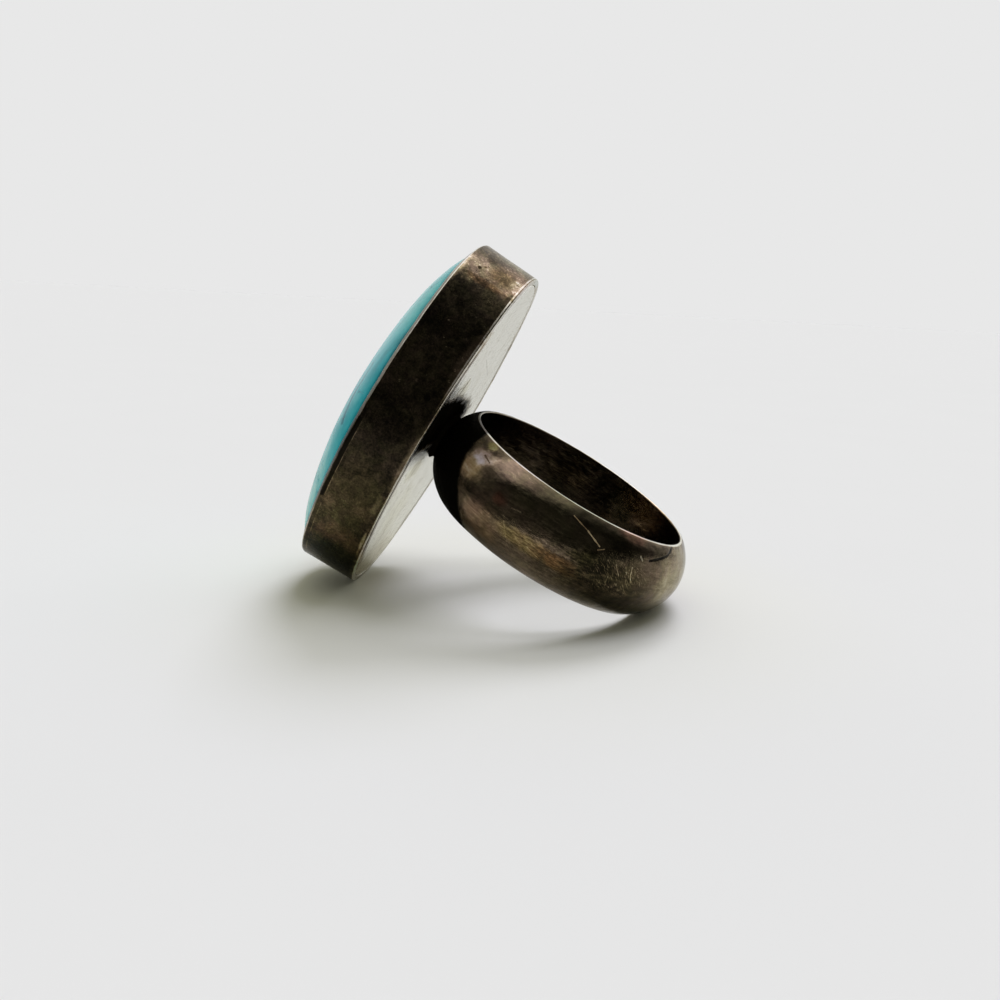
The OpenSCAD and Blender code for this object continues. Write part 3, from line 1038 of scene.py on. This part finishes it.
def band_finish():
    """Finger band: brown and olive tarnish on a dark shine, brushed round, with rims worn bright, painted
    highlights on the shoulder, and a black corner by the plate, partly painted dark reflection and shade.
    """
    finish, tree, metal = new_finish("tarnished finger band")
    place = ring_place(tree)
    x, y, z = parts(place)
    out_x = x - BAND_X
    radius = (out_x * out_x + y * y).root()
    turn = y.angle_from(out_x) * CROWN_RADIUS
    inside = 1 - radius.eased(BORE_RADIUS + 0.02, BORE_RADIUS + 0.1)
    rim = abs(z).eased(BAND_WIDTH / 2 - 0.05, BAND_WIDTH / 2 - 0.01)
    rim = rim * (cloud(place, 1.6, 4.0, 0.6, 35.0).eased(0.34, 0.58) * 0.24 + 0.80)
    # The black corner: partly tarnish at the joint, partly painted dark reflection and painted shade
    corner = abs(turn) - CORNER_START - z * CORNER_SLANT + (cloud(place, 0.6, 4.0, 0.6, 36.0) - 0.5) * 0.4
    corner = corner.eased(-CORNER_SOFT, CORNER_SOFT) * (1 - inside)
    wrapped = vector(tree, radius, z, turn)
    flat = vector(tree, turn, z, 0.0)
    lines, strokes = brushed(wrapped, 0.05, 2.5, rarity=0.70)
    cross, nicks = brushed(wrapped, 0.05, 1.0, turn=72, rarity=0.72)
    _, scuffs = brushed(wrapped, 0.045, 0.6, turn=38, rarity=0.62)
    scuffed, film, belt = patch(place, *SCUFFED), patch(place, *FILM), patch(place, *BELT)
    gold = struck(flat, round_the_band(GOLD_STROKES))
    scratches = struck(flat, round_the_band(BAND_STROKES)) + gold
    grooves = struck(flat, round_the_band(BAND_GROOVES))
    streaks = cloud(vector(tree, radius, z / 0.30, turn / 1.3), 1.0, 5.0, 0.68, 33.0, 0.4).eased(0.34, 0.66)
    fleck = cloud(vector(tree, radius, z / 0.14, turn / 0.55), 1.0, 5.0, 0.75, 34.0, 0.5) - 0.5
    depth = inside * 0.15 + 0.71 + (streaks - 0.5) * 0.10 + fleck * (belt * 0.9 + 0.2) * (1 - inside * 0.7)
    depth, stain = stained(place, BAND_STAINS_AND_HIGHLIGHTS, depth)
    depth = depth + grooves * 0.5 - lines * (inside * 0.12 + 0.08) + corner * 0.50
    stain = mixed(stain, GOLD_TINT, gold.held(0.0, 1.0))
    stain = mixed(stain, BLACK_CRUST_AND_PAINTED_SHADE, corner)
    worn = rim * 0.9 + scratches + strokes * 0.10 + nicks * (scuffed * 0.25 + 0.10) + scuffs * scuffed * 0.35
    colour, rough = tarnished(place, Depth=depth, Stain=stain, Bright_wear=worn.held(0.0, 0.92), Clouds=0.05,
                              Mottle=0.07, Olive=0.45, Sheen=0.17)
    rough = rough + scratches * 0.6 + scuffs * scuffed * 0.25
    waves = cloud(place, 1.5, 2.0, 0.5, 31.0)
    relief = lines * 0.5 + cross * 0.35 + streaks * 0.25 - grooves - scratches * 0.5
    normal = raised(relief, 0.014, 0.8, raised(waves, 0.09, 1.0))
    # Matt and no metal in the black corner, with its painted dark reflection and shade, and under the film of grime
    crust_and_painted_shade = (corner * 0.97).most(film * 0.75)
    silver(metal, colour, rough, normal, BAND_EDGE_TINT, crust_and_painted_shade)
    return finish


def solder_finish():
    """Solder fillet: black tarnish in the corner that no cloth reaches."""
    finish, tree, metal = new_finish("blackened solder")
    place = ring_place(tree)
    colour, rough = tarnished(place, Depth=0.92, Stain=BLACK_CRUST_AND_PAINTED_SHADE, Clouds=0.06, Mottle=0.14, Olive=0.3,
                              Sheen=0.3)
    relief = cloud(place, 0.4, 4.0, 0.6, 41.0)
    silver(metal, colour, rough, raised(relief, 0.04, 0.7), SOLDER_EDGE_TINT, 1.0)
    return finish


# Turquoise from its deepest to its palest clouds, then its tint in the middle and towards both ends
TURQUOISE_COLOURS = [
    [0.00, 0.004, 0.095, 0.120],
    [0.30, 0.014, 0.255, 0.310],
    [0.55, 0.040, 0.425, 0.485],
    [0.80, 0.110, 0.560, 0.590],
    [1.00, 0.330, 0.720, 0.680],
]
MIDDLE_TINT = (1.0, 1.09, 1.13)
END_TINT = (1.50, 1.16, 1.04)
TURQUOISE_IOR = 1.61
TURQUOISE_GLOSS = 0.18

# Lines in the stone: name, where each starts and ends across and along it, its width and how dark it is
STONE_LINES = [
    ["faint top of the crack", (0.0, -6.5, 3.2), (0.0, -6.7, 1.8), 0.24, 0.25],
    ["its upper part", (0.0, -6.7, 1.8), (0.0, -6.62, 1.0), 0.26, 0.36],
    ["its middle", (0.0, -6.62, 1.0), (0.0, -6.8, 0.0), 0.28, 0.40],
    ["its lower part", (0.0, -6.8, 0.0), (0.0, -7.45, -1.6), 0.28, 0.40],
]


def stone_finish():
    """Turquoise: polished, with pale and deeper clouds, a few thin dark lines, and painted shade along the lip."""
    finish, tree, stone = new_finish("polished turquoise")
    place = ring_place(tree)
    x, y, z = parts(place)
    drawn = vector(tree, x, y, z * 0.45)
    clouds = cloud(drawn, 2.6, 4.0, 0.55, 51.0, 0.8)
    mottle = cloud(place, 0.6, 4.0, 0.6, 52.0)
    # Painted shade along the lip: the stone is darker where it meets the wall
    edge = stored(tree, "out").eased(0.95, 1.0)
    shade = clouds * 0.95 + mottle * 0.25 + 0.20 - z.eased(-5.0, 4.0) * 0.26 - edge * 0.38
    shade = shade - struck(vector(tree, 0.0, y, z), STONE_LINES)
    vein = abs(cloud(drawn, 3.4, 3.0, 0.55, 53.0, 1.0) - 0.5)
    vein = (1 - vein.eased(0.003, 0.014)) * cloud(place, 2.0, 2.0, 0.5, 54.0).eased(0.45, 0.6)
    colour = ramp((shade - vein * 0.4).held(0.0, 1.0), TURQUOISE_COLOURS)
    tint = mixed(MIDDLE_TINT, END_TINT, abs(z).eased(3.0, 10.0))
    feed(tinted(colour, tint), stone.inputs["Base Color"])
    feed(mottle * 0.12 + 0.18 + vein * 0.2, stone.inputs["Roughness"])
    feed(raised(mottle - vein * 0.5, 0.006, 0.5), stone.inputs["Normal"])
    stone.inputs["IOR"].default_value = TURQUOISE_IOR
    stone.inputs["Specular IOR Level"].default_value = TURQUOISE_GLOSS
    return finish


# The ring's pieces: name, shape, finish, the node that each stands for, and its material slot
PIECES = [
    ["finger_band", band_tree, band_finish, "silver_mount", "silver"],
    ["bezel_wall", bezel_tree, wall_finish, "silver_mount", "silver"],
    ["back_plate", plate_tree, plate_finish, "silver_mount", "silver"],
    ["solder_joint", solder_tree, solder_finish, "silver_mount", "silver"],
    ["turquoise_cabochon", stone_tree, stone_finish, "turquoise_stone", "turquoise"],
]


def build_ring():
    for name, shape, dressing, node, material_slot in PIECES:
        piece = made_by(shape(), name, dressing())
        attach(piece, "root")
        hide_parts(node)


# Studio: a pale floor, soft light from overhead and behind, and a dark front for the silver to reflect

# The floor's half side and the reach of its warmer middle, a painted warm light round the ring, in metres, and
# its tones
FLOOR_HALF = 1.6
FLOOR_WARM_LIGHT_REACH = (0.010, 0.036)
FLOOR_TONE = 0.80
FLOOR_MOTTLE = 0.012
FLOOR_BLUE = 0.995
FLOOR_WARM_LIGHT_STRENGTH = 0.055
BACKDROP_TONE = 0.807
# Lamps: name, strength, spread, lean from behind and from the left in degrees, blue, and whether it lights
# gloss or matt surfaces
LAMPS = [
    ["wide light in the silver", 0.80, 64, 6, 5, 1.0, "gloss"],
    ["soft light overhead", 0.84, 34, 8, 18, 1.2, "matt"],
    ["light from behind", 1.22, 24, 38, 8, 1.16, "matt"],
]
# The glow overhead and behind: how much each direction counts, where it begins and is full, and its strength
GLOW_UP = 0.9
GLOW_BACK = 0.8
GLOW_EDGE = (0.40, 0.80)
GLOW_STRENGTH = 0.95
GLOW_LOW = 0.05
# What matt surfaces see of that glow, the even light round them, how much more of it comes from the left, and
# the tint of both
SHADE_GLOW = 0.60
SHADE_EVEN = 0.20
SHADE_LEFT = 0.70
SHADE_TINT = (0.78, 0.78, 0.60)
# The dark front, in millimetres, and its colour
FRONT_CENTRE = (0, -58, 36)
FRONT_WIDTH = 240
FRONT_HEIGHT = 72
FRONT_COLOUR = (0.15, 0.15 * 0.97, 0.15 * 0.93, 1.0)

# The four ways out to the corners of a square
CORNER_WAYS = [(-1, -1), (1, -1), (1, 1), (-1, 1)]


def add_sheet(name, corners, finish):
    mesh = bpy.data.meshes.new(name)
    mesh.from_pydata(corners, [], [(0, 1, 2, 3)])
    mesh.materials.append(finish)
    sheet = add_object(name, mesh)
    return sheet


def build_floor():
    finish, tree, paper = new_finish("pale floor")
    here = result(tree, "ShaderNodeTexCoord", output="Object")
    tone = (cloud(here, 0.02, 3.0, 0.5, 61.0) - 0.5) * FLOOR_MOTTLE + FLOOR_TONE
    # Painted warm light on the floor round the ring, where its shadows and the light from the silver fall
    painted_warm_light = 1 - with_vectors("LENGTH", here).eased(*FLOOR_WARM_LIGHT_REACH)
    blue = tone * (FLOOR_BLUE - painted_warm_light * FLOOR_WARM_LIGHT_STRENGTH)
    feed(vector(tree, tone, tone, blue), paper.inputs["Base Color"])
    paper.inputs["Roughness"].default_value = 0.95
    paper.inputs["Specular IOR Level"].default_value = 0.1
    add_sheet("floor", [(FLOOR_HALF * x, FLOOR_HALF * y, 0) for x, y in CORNER_WAYS], finish)


def build_dark_front():
    """An upright card that only the gloss of the pieces sees."""
    finish, tree, paint = new_finish("dark front")
    glow = result(tree, "ShaderNodeEmission", {"Color": FRONT_COLOUR})
    feed(glow, tree.nodes["Material Output"].inputs["Surface"])
    tree.nodes.remove(paint)
    ways = [Vector((x * FRONT_WIDTH / 2, 0, y * FRONT_HEIGHT / 2)) for x, y in CORNER_WAYS]
    sheet = add_sheet("dark front", [(Vector(FRONT_CENTRE) + way) * MM for way in ways], finish)
    sheet.visible_camera = False
    sheet.visible_diffuse = False
    sheet.visible_shadow = False
    sheet.visible_transmission = False


def build_light():
    for name, strength, spread, back, left, blue, surfaces in LAMPS:
        lamp = bpy.data.lights.new(name, "SUN")
        lamp.energy = strength
        lamp.angle = math.radians(spread)
        lamp.color = (1.0, 1.0, blue)
        light = add_object(name, lamp)
        light.rotation_euler = (math.radians(-back), math.radians(left), 0)
        light.visible_glossy = surfaces == "gloss"
        light.visible_diffuse = surfaces == "matt"
    sky = bpy.data.worlds.new("studio")
    bpy.context.scene.world = sky
    sky.use_nodes = True
    tree = sky.node_tree
    tree.nodes.clear()
    x, y, z = parts(result(tree, "ShaderNodeTexCoord", output="Generated"))
    glow = (z * GLOW_UP + y * GLOW_BACK).eased(*GLOW_EDGE) * GLOW_STRENGTH + GLOW_LOW
    even = glow * SHADE_GLOW + (1 - x * SHADE_LEFT) * SHADE_EVEN
    shade = tinted(vector(tree, even, even, even), SHADE_TINT)
    on_matt = result(tree, "ShaderNodeLightPath", output="Is Diffuse Ray")
    cast = mixed(vector(tree, glow, glow, glow), shade, on_matt)
    light = result(tree, "ShaderNodeBackground", {"Color": cast})
    plain = (BACKDROP_TONE, BACKDROP_TONE, BACKDROP_TONE, 1.0)
    seen = result(tree, "ShaderNodeBackground", {"Color": plain})
    in_view = result(tree, "ShaderNodeLightPath", output="Is Camera Ray")
    studio = result(tree, "ShaderNodeMixShader", {0: in_view, 1: light, 2: seen})
    add_node(tree, "ShaderNodeOutputWorld", {"Surface": studio})


# Camera at the photograph's angle to the ring

VIEW_AZIMUTH = 10.0
VIEW_ELEVATION = 11.74
VIEW_ROLL = 2.90
VIEW_AIM = (0.373, 0.0, 7.621)
VIEW_DISTANCE = 81.06
VIEW_LENS = 36.0
VIEW_FILM = 36.0
# Nearest and furthest that it sees, in metres
VIEW_NEAR = 0.005
VIEW_FAR = 10.0


def build_camera():
    azimuth, elevation = math.radians(VIEW_AZIMUTH), math.radians(VIEW_ELEVATION)
    level = math.cos(elevation)
    back = Vector((math.sin(azimuth) * level, -math.cos(azimuth) * level, math.sin(elevation)))
    data = bpy.data.cameras.new("camera")
    data.lens = VIEW_LENS
    data.sensor_width = VIEW_FILM
    data.clip_start = VIEW_NEAR
    data.clip_end = VIEW_FAR
    camera = add_object("camera", data)
    turn = (-back).to_track_quat("-Z", "Y").to_matrix() @ Matrix.Rotation(math.radians(VIEW_ROLL), 3, "Z")
    camera.matrix_world = Matrix.Translation((Vector(VIEW_AIM) + back * VIEW_DISTANCE) * MM) @ turn.to_4x4()
    bpy.context.scene.camera = camera


build_ring()
build_floor()
build_dark_front()
build_light()
build_camera()
bpy.context.scene.view_settings.view_transform = "Standard"
